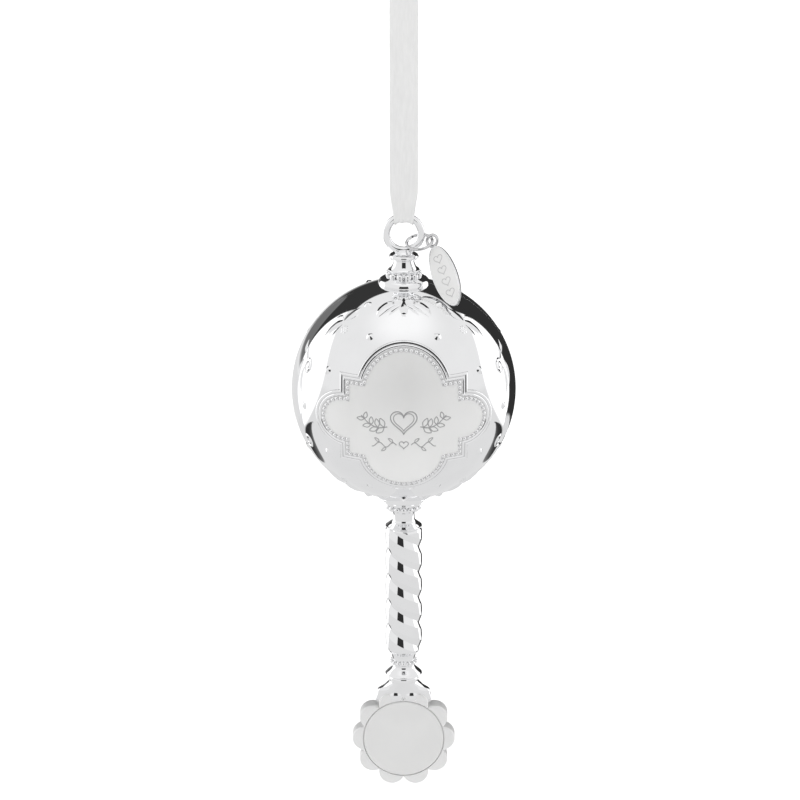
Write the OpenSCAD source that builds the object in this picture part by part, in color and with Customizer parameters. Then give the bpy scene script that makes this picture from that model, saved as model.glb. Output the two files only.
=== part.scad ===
// Silver-plated hanging keepsake rattle: a hollow ball with a cartouche on its front and back,
// a twisted handle with a lobed medallion foot, and a finial with a ring, a charm and a ribbon.
// The origin is the middle of the ribbon's knot, which holds the rattle up. +Z is up, the front is -Y.

/* [Ball] */
// Outer radius of the ball
ball_r = 25.5; // [24:0.1:26]
// Wall thickness of the two half shells
ball_wall = 0.9; // [0.7:0.1:1.1]
// Height of the knot above the ball's centre
hang_height = 97; // [90:1:120]

/* [Cartouche] */
// Radius of the top and bottom lobes
lobe_tall_r = 10.6; // [9.5:0.1:11]
// Height of their centres above and below the middle
lobe_tall_offset = 6.6; // [6:0.1:7]
// Radius of the side lobes
lobe_wide_r = 6.4; // [5.8:0.1:6.6]
// Distance of their centres from the middle
lobe_wide_offset = 13; // [12.5:0.1:13.2]
// Half width of the square corners between the lobes
corner_half_w = 14; // [13:0.1:14.2]
// Half height of the square corners
corner_half_h = 10; // [9.5:0.1:10.4]
// Width of the raised frame
frame_w = 1.7; // [1.2:0.1:2]
// How far the frame stands above the ball
frame_rise = 0.7; // [0.5:0.05:0.8]
// How far the plate inside the frame stands above the ball
plate_rise = 0.4; // [0.3:0.05:0.45]

/* [Finial and charm] */
// Radius of the suspension ring at the middle of its wire
ring_line_r = 3.93; // [3.8:0.01:4]
// Radius of the suspension ring's wire
ring_wire_r = 0.85; // [0.75:0.01:0.88]
// Radius of the jump ring at the middle of its wire
jump_line_r = 2.9; // [2.85:0.01:2.95]
// Radius of the jump ring's wire
jump_wire_r = 0.33; // [0.25:0.01:0.35]
// Length of the charm's oval plate
charm_l = 14.8; // [13:0.1:15]
// Width of the charm's oval plate
charm_w = 6; // [5:0.1:6.2]
// Thickness of the charm's oval plate
charm_t = 1; // [0.8:0.1:1]

/* [Handle] */
// Largest radius of the twisted handle
handle_r = 4.25; // [4:0.05:4.4]
// Depth of the twisted groove
groove_depth = 0.65; // [0.4:0.05:0.8]
// Height of one full turn of the twist
twist_pitch = 12.5; // [11:0.1:14]
// Radius of the rod through the handle
rod_r = 1.2; // [1:0.05:1.25]

/* [Medallion foot] */
// Number of round lobes
lobe_count = 10; // [8:1:12]
// Radius out to the tips of the lobes
medallion_r = 12; // [11.8:0.05:12.1]
// Radius of one lobe
lobe_r = 3; // [3:0.1:3.5]
// Thickness from front to back
medallion_t = 4.2; // [4:0.1:4.6]
// Radius of the round plate let into each face
face_r = 9.3; // [9:0.1:9.4]

/* [Ribbon] */
// Width of the ribbon
ribbon_w = 6.35; // [5.5:0.05:6.5]
// Width where it is gathered through the ring
ribbon_gathered_w = 3.95; // [3.5:0.05:4.1]
// Thickness of the ribbon
ribbon_t = 0.3; // [0.2:0.05:0.3]

/* [Hidden] */
$fn = 64;

silver = "#c9ccd0";
satin_silver = "#b4b6b8";
steel = "#8f9296";
white_satin = "#ecebe8";

fit_gap = 0.02;     // radial clearance of a rod in its bore
seat_gap = 0.04;    // gap under a piece that is soldered on the ball
bore_r = rod_r + fit_gap;
tip_r = 0.7;        // thin end of the stud and of the rod
tip_l = 0.55;       // how far the stud's thin end reaches into the ring's foot

// Heights above the ball's centre of the faces where the stacked pieces meet
cap_top = 26.2;
beads_top = 28;
neck_top = 30.9;
collar_top = 31.95;
ring_centre = 36.55;
base_cap_end = -27.7;
base_beads_end = -29.3;
handle_neck_end = -33.4;
handle_end = -64.1;
ferrule_end = -66.2;
lower_beads_end = -67.5;
disc_end = -70.3;
foot_neck_end = -76.2;
medallion_centre = -85.9;
rod_end = -79;
twist_start = 104;  // angle of one strand's crest at the lower end of the handle
rod_head_r = 2.2;
rod_head_h = 1.2;

// Where the jump ring and the charm hang
jump_centre = [3.5, 0, 34.55];
jump_tilt = 18.6;                    // its front is lower than its back
jump_roll = 8;                       // its right end is higher than its left end
eye_centre = [6.37, -0.3, 34.95];
eye_line_r = 1.3;                    // radius of the charm's eye at the middle of its round section
eye_wire_r = 0.3;
eye_to_plate = 1.45;                 // from the eye's centre to the upper end of the plate
charm_slant = -23;                   // the charm's lower end lies to the right
charm_lean = 34;                     // it leans forward over the ball's shoulder
charm_turn = -15;                    // its face turns a little to the left
charm_rim_w = 0.35;
charm_rim_h = 0.15;

// The ribbon's route, from the knot down the front, under the ring's wire and up the back
ribbon_route = [
    [0, -1.3, -2], [0, -1.3, -8], [0, -1.3, -16], [0, -1.3, -24], [0, -1.3, -32], [0, -1.3, -40],
    [0, -1.3, -48], [0, -1.3, -52], [0, -1.3, -54.5], [0, -1.3, -56.4], [0, -1.2, -56.95],
    [0, -0.92, -57.37], [0, -0.5, -57.65], [0, 0, -57.75], [0, 0.5, -57.65], [0, 0.92, -57.37],
    [0, 1.2, -56.95], [0, 1.3, -56.4], [0, 1.3, -54.5], [0, 1.3, -52], [0, 1.3, -48],
    [0, 1.3, -40], [0, 1.3, -32], [0, 1.3, -24], [0, 1.3, -16], [0, 1.3, -8], [0, 1.3, -2]
];
gather_from = -50.5;                 // height where the ribbon starts to narrow
gather_to = -57.9;
knot_cut = -2;                       // flat underside of the knot, where the two runs end
cut = 60;                            // side of a cutting block, larger than anything it cuts

// Rest planes of the four loose pellets inside the ball
pellet_r = 2;
pellet_play = 0.15;
pellet_planes = [-9, -4.8, 4.8, 9];

module at_ball() {
    translate([0, 0, -hang_height]) children();
}

// A ring of round beads on a thin round core, with a bore through it
module bead_band(low, high, line_r, bead_r, count, bore) {
    difference() {
        union() {
            translate([0, 0, low]) cylinder(h = high - low, r = line_r - bead_r * 0.35);
            for (i = [0 : count - 1])
                rotate([0, 0, (i + 0.5) * 360 / count])
                    translate([line_r, 0, (low + high) / 2]) sphere(r = bead_r, $fn = 24);
        }
        translate([0, 0, low - 1]) cylinder(h = high - low + 2, r = bore);
    }
}

// A turned piece from its outline of [radius, height] points, with a bore through it
module turned(outline, bore) {
    low = min([for (p = outline) p[1]]);
    high = max([for (p = outline) p[1]]);
    difference() {
        rotate_extrude() polygon(concat([[0, high], [0, low]], outline));
        translate([0, 0, low - 1]) cylinder(h = high - low + 2, r = bore);
    }
}

// Points of a round bulge from one height to another: it stands out by depth halfway between them
function bulge(r, depth, low, high, steps = 8) = [
    for (i = [0 : steps])
        [r + depth * sin(180 * i / steps), low + (high - low) * (1 - cos(180 * i / steps)) / 2]
];

// Points of a smooth flare from one radius to another
function flare(r1, h1, r2, h2, power = 2, steps = 10) = [
    for (i = [0 : steps]) [r1 + (r2 - r1) * pow(i / steps, power), h1 + (h2 - h1) * i / steps]
];

// ---- Ribbon -------------------------------------------------------------------------------

function direction(i) = let (
    n = len(ribbon_route),
    step = ribbon_route[min(i + 1, n - 1)] - ribbon_route[max(i - 1, 0)]
) step / norm(step);

function width_at(z) = ribbon_w - (ribbon_w - ribbon_gathered_w)
    * max(0, min(1, (gather_from - z) / (gather_from - gather_to)));

// The fold follows the round of the ring's wire
function bow_at(x, z) = (ring_line_r - sqrt(ring_line_r * ring_line_r - x * x))
    * max(0, min(1, (gather_from - z) / (gather_from - gather_to)));

module hanging_ribbon() {
    sides = 8;
    rings = len(ribbon_route);
    points = [
        for (i = [0 : rings - 1], k = [0 : sides - 1]) let (
            along = direction(i),
            across = [0, -along[2], along[1]],
            centre = ribbon_route[i],
            x = width_at(centre[2]) / 2 * cos(360 * k / sides),
            lift = ribbon_t / 2 * sin(360 * k / sides)
        ) centre + [x, 0, -bow_at(min(abs(x), 2), centre[2])] + across * lift
    ];
    walls = [
        for (i = [0 : rings - 2], k = [0 : sides - 1]) let (j = (k + 1) % sides)
            [i * sides + k, i * sides + j, (i + 1) * sides + j, (i + 1) * sides + k]
    ];
    start = [for (k = [sides - 1 : -1 : 0]) k];
    end = [for (k = [0 : sides - 1]) (rings - 1) * sides + k];
    color(white_satin) polyhedron(points = points, faces = concat(walls, [start, end]), convexity = 6);
}

module ribbon_knot() {
    knot_r = 2.6;
    tail_l = 11;
    color(white_satin) difference() {
        union() {
            rotate([0, 90, 0]) rotate_extrude() polygon(concat(
                [[0, 3.4], [0, -3.4]], bulge(1.6, knot_r - 1.6, -3.4, 3.4)
            ));
            for (lean = [-22, 22])
                rotate([lean, 0, 0]) translate([0, ribbon_t / 2, 0]) rotate([90, 0, 0])
                    linear_extrude(height = ribbon_t) polygon([
                        [-2.4, 0], [2.4, 0], [3.1, tail_l], [0, tail_l - 2.2], [-3.1, tail_l]
                    ]);
        }
        translate([-cut / 2, -cut / 2, knot_cut - cut]) cube(cut);
    }
}

// ---- Ring, jump ring and charm ------------------------------------------------------------

module wire_ring(line_r, wire_r) {
    rotate_extrude() translate([line_r, 0]) circle(r = wire_r, $fn = 32);
}

module suspension_ring() {
    foot_r = 1.6;
    color(silver) at_ball() difference() {
        union() {
            translate([0, 0, ring_centre]) rotate([90, 0, 0]) wire_ring(ring_line_r, ring_wire_r);
            translate([0, 0, collar_top]) cylinder(h = 1.05, r = foot_r);
        }
        translate([0, 0, collar_top - 2]) cylinder(h = 2, r = foot_r + 1);
        translate([0, 0, collar_top - 1]) cylinder(h = 1.6, r = tip_r + fit_gap);
    }
}

module jump_ring() {
    color(silver) at_ball() translate(jump_centre) rotate([0, -jump_roll, 0]) rotate([jump_tilt, 0, 0])
        wire_ring(jump_line_r, jump_wire_r);
}

module oval(long, wide, steps = 48) {
    polygon([for (i = [0 : steps - 1]) [wide * cos(i * 360 / steps), long * sin(i * 360 / steps)]]);
}

// The charm in its own plane has its eye at the origin and its plate below it along -Y
module oval_charm() {
    long = charm_l / 2;
    wide = charm_w / 2;
    color(satin_silver) at_ball() translate(eye_centre)
        rotate([0, charm_slant, 0]) rotate([90 - charm_lean, 0, 0]) rotate([0, charm_turn, 0]) {
            wire_ring(eye_line_r, eye_wire_r);
            translate([0, -eye_to_plate - long, 0]) difference() {
                translate([0, 0, -charm_t / 2]) linear_extrude(height = charm_t) oval(long, wide);
                translate([0, 0, charm_t / 2 - charm_rim_h]) linear_extrude(height = 1)
                    oval(long - charm_rim_w, wide - charm_rim_w);
            }
        }
}

// ---- Finial -------------------------------------------------------------------------------

module finial_collar() {
    color(silver) at_ball() turned(concat(
        [[2.4, neck_top]], bulge(2.85, 0.55, neck_top + 0.1, collar_top - 0.1), [[2.2, collar_top]]
    ), bore_r);
}

module finial_neck() {
    color(silver) at_ball() turned(concat(
        [[3.5, beads_top], [4, beads_top + 0.12], [4.02, beads_top + 0.4]],
        flare(3.75, beads_top + 0.55, 2.3, beads_top + 2, 0.55), [[2.25, neck_top - 0.5], [2.4, neck_top]]
    ), bore_r);
}

module finial_bead_ring() {
    color(silver) at_ball() bead_band(cap_top, beads_top, 3.45, 0.72, 16, bore_r);
}

module ball_top_cap() {
    color(silver) at_ball() difference() {
        rotate_extrude() polygon([
            [0, cap_top], [0, 24], [5.83, 24], [5.83, 25.05], [5.72, 25.28], [5.45, 25.45],
            [4.7, 25.75], [3.6, cap_top]
        ]);
        sphere(r = ball_r + seat_gap, $fn = 240);
        cylinder(h = cut, r = bore_r);
    }
}

module finial_stud() {
    head_top = sqrt(pow(ball_r - ball_wall, 2) - rod_head_r * rod_head_r) - fit_gap;
    head_low = head_top - rod_head_h;
    color(steel) at_ball() {
        translate([0, 0, head_low]) cylinder(h = rod_head_h, r = rod_head_r);
        translate([0, 0, head_low]) cylinder(h = collar_top - head_low, r = rod_r);
        translate([0, 0, head_low]) cylinder(h = collar_top + tip_l - head_low, r = tip_r);
    }
}

// ---- Ball ---------------------------------------------------------------------------------

lap_depth = 1;      // the rear shell's lip reaches this far into the front shell
lap_r = ball_r - ball_wall / 2;

module half_shell(side) {
    difference() {
        sphere(r = ball_r, $fn = 96);
        sphere(r = ball_r - ball_wall, $fn = 96);
        translate([-cut / 2, side > 0 ? -cut : 0, -cut / 2]) cube(cut);
    }
}

module pole_bores() {
    translate([0, 0, -ball_r - 1]) cylinder(h = 2 * ball_r + 2, r = bore_r);
}

module ball_front_shell() {
    color(silver) at_ball() difference() {
        half_shell(-1);
        translate([0, 1, 0]) rotate([90, 0, 0])
            cylinder(h = 1 + lap_depth + fit_gap, r = lap_r + fit_gap, $fn = 96);
        pole_bores();
    }
}

module ball_rear_shell() {
    color(silver) at_ball() difference() {
        union() {
            half_shell(1);
            translate([0, 0.3, 0]) rotate([90, 0, 0]) difference() {
                cylinder(h = 0.3 + lap_depth, r = lap_r, $fn = 96);
                translate([0, 0, -1]) cylinder(h = 4, r = ball_r - ball_wall - 0.05, $fn = 96);
            }
        }
        pole_bores();
    }
}

// The cartouche's outline, drawn inset by a margin: four round lobes with square corners between
module cartouche(inset) {
    for (side = [-1, 1]) {
        translate([0, side * lobe_tall_offset]) circle(r = lobe_tall_r - inset, $fn = 96);
        translate([side * lobe_wide_offset, 0]) circle(r = lobe_wide_r - inset, $fn = 96);
    }
    square([2 * (corner_half_w - inset), 2 * (corner_half_h - inset)], center = true);
}

module cartouche_skin(from_r, to_r, inset) {
    intersection() {
        difference() {
            sphere(r = to_r, $fn = 96);
            sphere(r = from_r, $fn = 96);
        }
        rotate([90, 0, 0]) linear_extrude(height = ball_r + 2) cartouche(inset);
    }
}

module cartouche_frame() {
    difference() {
        cartouche_skin(ball_r + seat_gap, ball_r + frame_rise, 0);
        rotate([90, 0, 0]) linear_extrude(height = ball_r + 3) cartouche(frame_w);
    }
}

module front_frame() {
    color(silver) at_ball() cartouche_frame();
}

module rear_frame() {
    color(silver) at_ball() rotate([0, 0, 180]) cartouche_frame();
}

module front_plaque() {
    color(satin_silver) at_ball()
        cartouche_skin(ball_r + seat_gap, ball_r + plate_rise, frame_w + seat_gap);
}

module rear_plaque() {
    color(satin_silver) at_ball() rotate([0, 0, 180])
        cartouche_skin(ball_r + seat_gap, ball_r + plate_rise, frame_w + seat_gap);
}

module rattle_pellet(number) {
    track_r = ball_r - ball_wall - pellet_r - pellet_play;
    y = pellet_planes[number - 1];
    color(steel) at_ball() translate([0, y, -sqrt(track_r * track_r - y * y)]) sphere(r = pellet_r, $fn = 32);
}

// ---- Handle -------------------------------------------------------------------------------

module ball_base_cap() {
    color(silver) at_ball() difference() {
        rotate_extrude() polygon([
            [0, -24], [5, -24], [5.15, -25.4], [5.05, -26.6], [4.2, base_cap_end], [0, base_cap_end]
        ]);
        sphere(r = ball_r + seat_gap, $fn = 240);
        translate([0, 0, -cut]) cylinder(h = cut, r = bore_r);
    }
}

module base_bead_ring() {
    color(silver) at_ball() bead_band(base_beads_end, base_cap_end, 3.45, 0.7, 16, bore_r);
}

module handle_neck() {
    color(silver) at_ball() turned(concat(
        [[4, handle_neck_end], [4.27, handle_neck_end + 0.25], [4.2, handle_neck_end + 0.6]],
        flare(4, handle_neck_end + 0.7, 2.5, handle_neck_end + 1.9, 0.5),
        [[2.5, base_beads_end - 0.4], [2.9, base_beads_end]]
    ), bore_r);
}

// One lobe on each side, so two strands wind round the handle
function twist_radius(a) = handle_r - groove_depth * pow(abs(sin(a)), 2.4);

module twisted_handle() {
    length = handle_neck_end - handle_end;
    color(silver) at_ball() difference() {
        translate([0, 0, handle_end]) rotate([0, 0, twist_start])
            linear_extrude(height = length, twist = 360 * length / twist_pitch, slices = 50, convexity = 6,
                $fn = 24) polygon([for (i = [0 : 23]) twist_radius(i * 15) * [cos(i * 15), sin(i * 15)]]);
        translate([0, 0, handle_end - 1]) cylinder(h = length + 2, r = bore_r);
    }
}

module lower_ferrule() {
    color(silver) at_ball() turned(concat(
        [[2.7, ferrule_end], [2.75, ferrule_end + 0.6]], flare(2.8, ferrule_end + 0.8, 3.6, handle_end, 2)
    ), bore_r);
}

module lower_bead_ring() {
    color(silver) at_ball() bead_band(lower_beads_end, ferrule_end, 2.75, 0.5, 16, bore_r);
}

module lower_disc() {
    color(silver) at_ball() turned(concat(
        [[3.3, disc_end], [4.15, disc_end + 0.2], [4.3, disc_end + 0.45]],
        flare(4.1, disc_end + 0.6, 2.5, disc_end + 2.2, 0.5), [[2.6, lower_beads_end]]
    ), bore_r);
}

// A round neck that spreads sideways into the shoulders over the medallion
module foot_neck() {
    depth = 5.2;
    shoulder = foot_neck_end + 2.1;
    color(silver) at_ball() intersection() {
        turned(concat(
            [[6.7, foot_neck_end], [6.35, foot_neck_end + 1.3]], flare(6.1, shoulder, 3.3, disc_end - 1.5, 0.5),
            [[3.35, disc_end - 0.4], [3.1, disc_end]]
        ), bore_r);
        translate([-cut / 2, -depth / 2, foot_neck_end - 1]) cube([cut, depth, cut]);
    }
}

module handle_rod() {
    head_low = -sqrt(pow(ball_r - ball_wall, 2) - rod_head_r * rod_head_r) + fit_gap;
    head_top = head_low + rod_head_h;
    color(steel) at_ball() {
        translate([0, 0, head_low]) cylinder(h = rod_head_h, r = rod_head_r);
        translate([0, 0, foot_neck_end]) cylinder(h = head_top - foot_neck_end, r = rod_r);
        translate([0, 0, rod_end]) cylinder(h = head_top - rod_end, r = tip_r);
    }
}

// ---- Medallion foot -----------------------------------------------------------------------

face_t = 0.5;       // thickness of the round plates let into the faces
face_play = 0.12;   // groove round them

module medallion() {
    lobe_line = medallion_r - lobe_r;
    color(silver) at_ball() difference() {
        translate([0, medallion_t / 2, medallion_centre]) rotate([90, 0, 0])
            linear_extrude(height = medallion_t) {
                circle(r = lobe_line + 0.6);
                for (i = [0 : lobe_count - 1])
                    rotate(i * 360 / lobe_count) translate([lobe_line, 0]) circle(r = lobe_r, $fn = 32);
            }
        for (side = [-1, 1])
            translate([0, side * medallion_t / 2, medallion_centre]) rotate([90, 0, 0])
                cylinder(h = 2 * face_t, r = face_r + face_play, center = true);
        translate([-cut / 2, -cut / 2, foot_neck_end]) cube(cut);
        translate([0, 0, rod_end - 0.1]) cylinder(h = 10, r = tip_r + fit_gap);
    }
}

module medallion_plate(side) {
    color(satin_silver) at_ball()
        translate([0, side * (medallion_t / 2 - face_t / 2 + 0.01), medallion_centre]) rotate([90, 0, 0])
            cylinder(h = face_t - 0.02, r = face_r, center = true);
}

module medallion_front_plate() {
    medallion_plate(-1);
}

module medallion_back_plate() {
    medallion_plate(1);
}

hanging_ribbon();
ribbon_knot();
suspension_ring();
jump_ring();
oval_charm();
finial_collar();
finial_neck();
finial_bead_ring();
ball_top_cap();
finial_stud();
ball_front_shell();
ball_rear_shell();
front_frame();
rear_frame();
front_plaque();
rear_plaque();
rattle_pellet(1);  // rattle_pellet_1
rattle_pellet(2);  // rattle_pellet_2
rattle_pellet(3);  // rattle_pellet_3
rattle_pellet(4);  // rattle_pellet_4
ball_base_cap();
base_bead_ring();
handle_neck();
twisted_handle();
lower_ferrule();
lower_bead_ring();
lower_disc();
foot_neck();
medallion();
medallion_front_plate();
medallion_back_plate();
handle_rod();
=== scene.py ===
"""Looks of the hanging silver keepsake rattle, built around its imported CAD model. Everything is in metres."""
from math import atan2, cos, pi, radians, sin, sqrt

import bpy
import numpy as np
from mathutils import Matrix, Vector


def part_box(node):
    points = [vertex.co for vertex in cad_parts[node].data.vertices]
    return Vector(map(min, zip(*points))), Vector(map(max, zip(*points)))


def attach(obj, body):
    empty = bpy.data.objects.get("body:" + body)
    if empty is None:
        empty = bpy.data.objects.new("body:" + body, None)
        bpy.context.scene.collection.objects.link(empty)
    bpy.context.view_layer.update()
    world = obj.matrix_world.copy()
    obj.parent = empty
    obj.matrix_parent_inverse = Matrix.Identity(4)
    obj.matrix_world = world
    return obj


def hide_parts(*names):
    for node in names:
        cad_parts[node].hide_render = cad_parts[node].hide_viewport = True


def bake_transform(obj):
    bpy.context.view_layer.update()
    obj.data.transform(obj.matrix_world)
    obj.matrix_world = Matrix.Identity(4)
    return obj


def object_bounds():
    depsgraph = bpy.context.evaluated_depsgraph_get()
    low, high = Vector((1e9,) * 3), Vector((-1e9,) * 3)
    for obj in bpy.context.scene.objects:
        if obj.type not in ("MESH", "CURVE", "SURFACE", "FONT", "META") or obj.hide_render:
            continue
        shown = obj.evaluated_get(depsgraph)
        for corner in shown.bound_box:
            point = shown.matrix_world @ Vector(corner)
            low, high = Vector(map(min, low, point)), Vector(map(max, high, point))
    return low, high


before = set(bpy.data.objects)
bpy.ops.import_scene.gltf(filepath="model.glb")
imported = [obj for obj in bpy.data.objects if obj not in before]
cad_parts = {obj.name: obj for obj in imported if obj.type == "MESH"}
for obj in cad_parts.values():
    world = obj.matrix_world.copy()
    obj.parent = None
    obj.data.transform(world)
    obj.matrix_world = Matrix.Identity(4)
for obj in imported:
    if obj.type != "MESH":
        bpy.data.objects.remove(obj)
cad_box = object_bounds()
scene = bpy.context.scene

MM = 0.001


# ---- Places taken from the frame, in millimetres ----

def box_mm(node):
    low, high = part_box(node)
    return np.array(low) / MM, np.array(high) / MM


shell_low, shell_high = box_mm("ball_front_shell")
BALL_R = (shell_high[0] - shell_low[0]) / 2
BALL_Z = (shell_high[2] + shell_low[2]) / 2
BALL = np.array([0, 0, BALL_Z])


def height_range(node):
    """Lowest and highest point of a node above the ball's centre."""
    low, high = box_mm(node)
    return low[2] - BALL_Z, high[2] - BALL_Z


# ---- Camera ----

CAMERA_DISTANCE = 0.85
CAMERA_ELEVATION = radians(18.3)
# a small turn of the aim, so that the rattle sits where it sits in the photo
AIM_DOWN = radians(0.184)
AIM_LEFT = radians(0.061)
LENS_MM = 168
SENSOR_MM = 36


def new_object(name, data):
    made = bpy.data.objects.new(name, data)
    scene.collection.objects.link(made)
    return made


def make_camera():
    data = bpy.data.cameras.new("camera")
    data.lens = LENS_MM
    data.sensor_width = SENSOR_MM
    data.clip_start = 0.01
    data.clip_end = 20
    camera = new_object("camera", data)
    back = Vector((0, -cos(CAMERA_ELEVATION), sin(CAMERA_ELEVATION)))
    camera.location = Vector((0, 0, BALL_Z * MM)) + back * CAMERA_DISTANCE
    pitch = -CAMERA_ELEVATION - AIM_DOWN
    camera.rotation_euler = (pi / 2 + pitch, 0, AIM_LEFT)
    scene.camera = camera


make_camera()


# ---- Materials ----

def new_material(name):
    material = bpy.data.materials.new(name)
    material.use_nodes = True
    tree = material.node_tree
    return material, tree.nodes, tree.links, tree.nodes["Principled BSDF"]


def fill(node, values):
    """Sets constant numbers and colours on a node's own sockets."""
    for socket, value in values.items():
        node.inputs[socket].default_value = value


def noise(nodes, links, scale, detail=3.0, stretch=None):
    """A noise texture in object space, optionally stretched."""
    where = nodes.new("ShaderNodeTexCoord")
    texture = nodes.new("ShaderNodeTexNoise")
    fill(texture, {"Scale": scale, "Detail": detail})
    source = where.outputs["Object"]
    if stretch:
        mapping = nodes.new("ShaderNodeMapping")
        mapping.inputs["Scale"].default_value = stretch
        links.new(source, mapping.inputs["Vector"])
        source = mapping.outputs["Vector"]
    links.new(source, texture.inputs["Vector"])
    return texture.outputs["Fac"]


def ramp(nodes, links, source, low, high, start=0.3, stop=0.7):
    """Maps a value between two grey levels."""
    span = nodes.new("ShaderNodeMapRange")
    fill(span, {"From Min": start, "From Max": stop, "To Min": low, "To Max": high})
    links.new(source, span.inputs["Value"])
    return span.outputs["Result"]


def bump(nodes, links, shader, source, strength, distance):
    node = nodes.new("ShaderNodeBump")
    fill(node, {"Strength": strength, "Distance": distance})
    links.new(source, node.inputs["Height"])
    links.new(node.outputs["Normal"], shader.inputs["Normal"])


def two_tones(nodes, links, shader, source, dark, light):
    """A base colour that wanders between two tones."""
    mix = nodes.new("ShaderNodeMix")
    mix.data_type = "RGBA"
    fill(mix, {"A": (*dark, 1), "B": (*light, 1)})
    links.new(ramp(nodes, links, source, 0, 1), mix.inputs["Factor"])
    links.new(mix.outputs["Result"], shader.inputs["Base Color"])


def silver_material(name, color, rough_low, rough_high, grain_strength, grain_stretch=None, metallic=1.0):
    material, nodes, links, shader = new_material(name)
    shader.inputs["Metallic"].default_value = metallic
    two_tones(nodes, links, shader, noise(nodes, links, 160), [c * 0.97 for c in color], color)
    smudge = noise(nodes, links, 220, 4)
    links.new(ramp(nodes, links, smudge, rough_low, rough_high), shader.inputs["Roughness"])
    grain = noise(nodes, links, 9000, 2, grain_stretch)
    bump(nodes, links, shader, grain, grain_strength, 0.00002)
    return material


POLISHED = silver_material("polished_silver", (0.955, 0.957, 0.965), 0.02, 0.05, 0.03)
SOFT = silver_material("soft_silver", (0.88, 0.88, 0.877), 0.42, 0.48, 0.05, None, 0.42)
SATIN = silver_material("satin_silver", (0.87, 0.87, 0.865), 0.56, 0.62, 0.1, (1, 1, 4), 0.42)
CHARM_SATIN = silver_material("charm_satin_silver", (0.97, 0.97, 0.965), 0.5, 0.56, 0.1, (1, 1, 4), 0.42)
# painted shade for the plate's engraved lines, partly standing for oxide in them
ENGRAVING_SHADE = silver_material("painted_engraving_shade", (0.42, 0.42, 0.425), 0.5, 0.6, 0.1, None, 0.5)
# painted shade for the cartouche's grooves and bead bed, partly standing for oxide there: a darker copy of the
# silver
GROOVE_SHADE = silver_material("painted_groove_shade", (0.64, 0.64, 0.645), 0.35, 0.45, 0.1, None, 0.8)
WIRE = silver_material("wire_silver", (0.72, 0.72, 0.73), 0.03, 0.08, 0.05)
# painted shade for the two shoulders of the charm's edge: a near-black copy of the silver
EDGE_SHADE = silver_material("painted_edge_shade", (0.2, 0.2, 0.205), 0.3, 0.4, 0.1)
# painted shade for the charm's engraved hearts, partly standing for oxide in them
CHARM_ENGRAVING_SHADE = silver_material("charm_painted_engraving_shade", (0.7, 0.7, 0.7), 0.5, 0.6, 0.1, None, 0.5)
STEEL = silver_material("plain_steel", (0.5, 0.51, 0.52), 0.3, 0.42, 0.4)


def ribbon_material():
    material, nodes, links, shader = new_material("white_satin_ribbon")
    where = nodes.new("ShaderNodeTexCoord")
    rows = nodes.new("ShaderNodeTexWave")
    rows.wave_type = "BANDS"
    rows.bands_direction = "Z"
    fill(rows, {"Scale": 1300, "Distortion": 1.2, "Detail": 1.5})
    links.new(where.outputs["Object"], rows.inputs["Vector"])
    cloud = noise(nodes, links, 400, 3, (6, 6, 1))
    two_tones(nodes, links, shader, cloud, (0.8, 0.8, 0.797), (0.85, 0.85, 0.847))
    links.new(ramp(nodes, links, cloud, 0.34, 0.48), shader.inputs["Roughness"])
    fill(shader, {"Sheen Weight": 0.08, "Sheen Roughness": 0.4})
    bump(nodes, links, shader, rows.outputs["Fac"], 0.25, 0.00003)
    return material


RIBBON = ribbon_material()


# ---- Mesh helpers ----

def piece(name, verts_mm, faces, material, body, nodes=(), sharp=35):
    """Makes a smooth mesh piece from points in millimetres, and lets it ride on a body."""
    mesh = bpy.data.meshes.new(name)
    mesh.from_pydata([tuple(v) for v in np.asarray(verts_mm, float) * MM], [], faces)
    mesh.validate()
    mesh.update()
    mesh.polygons.foreach_set("use_smooth", [True] * len(mesh.polygons))
    mesh.set_sharp_from_angle(angle=radians(sharp))
    mesh.materials.append(material)
    obj = new_object(name, mesh)
    if body:
        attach(obj, body)
    if nodes:
        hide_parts(*nodes)
    return obj


def turns(count, start=0.0):
    """Evenly spaced angles once round, counted in steps from a start."""
    return [2 * pi * (k + start) / count for k in range(count)]


def flipped(faces, wanted=True):
    """The same faces looking the other way."""
    return [tuple(f[::-1]) for f in faces] if wanted else faces


def grid_faces(rows, columns, wrap_rows=False, wrap_columns=True):
    """Faces of a grid of points listed row by row."""
    faces = []
    for i in range(rows if wrap_rows else rows - 1):
        for k in range(columns if wrap_columns else columns - 1):
            i2, k2 = (i + 1) % rows, (k + 1) % columns
            faces.append((i * columns + k, i * columns + k2, i2 * columns + k2, i2 * columns + k))
    return faces


def caps(rings, sides):
    """The end faces of a grid of rings."""
    return [tuple(range(sides))[::-1], tuple((rings - 1) * sides + k for k in range(sides))]


class Shape:
    """Collects several closed pieces of mesh into one."""

    def __init__(self):
        self.verts, self.faces, self.count = [], [], 0

    def add(self, verts, faces):
        verts = np.asarray(verts, float)
        self.verts.append(verts)
        self.faces += [tuple(self.count + i for i in f) for f in faces]
        self.count += len(verts)
        return self

    def make(self, name, material, body, nodes=(), sharp=35):
        return piece(name, np.concatenate(self.verts), self.faces, material, body, nodes, sharp)

    def make_silver(self, name, nodes=(), sharp=35, material=POLISHED, slot="polished_silver"):
        """A silver piece of the rattle itself."""
        return self.make(name, material, "rattle", nodes, sharp)

    def make_charm_part(self, name, material, sharp=60, nodes=()):
        return self.make(name, material, "charm", nodes, sharp)


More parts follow.
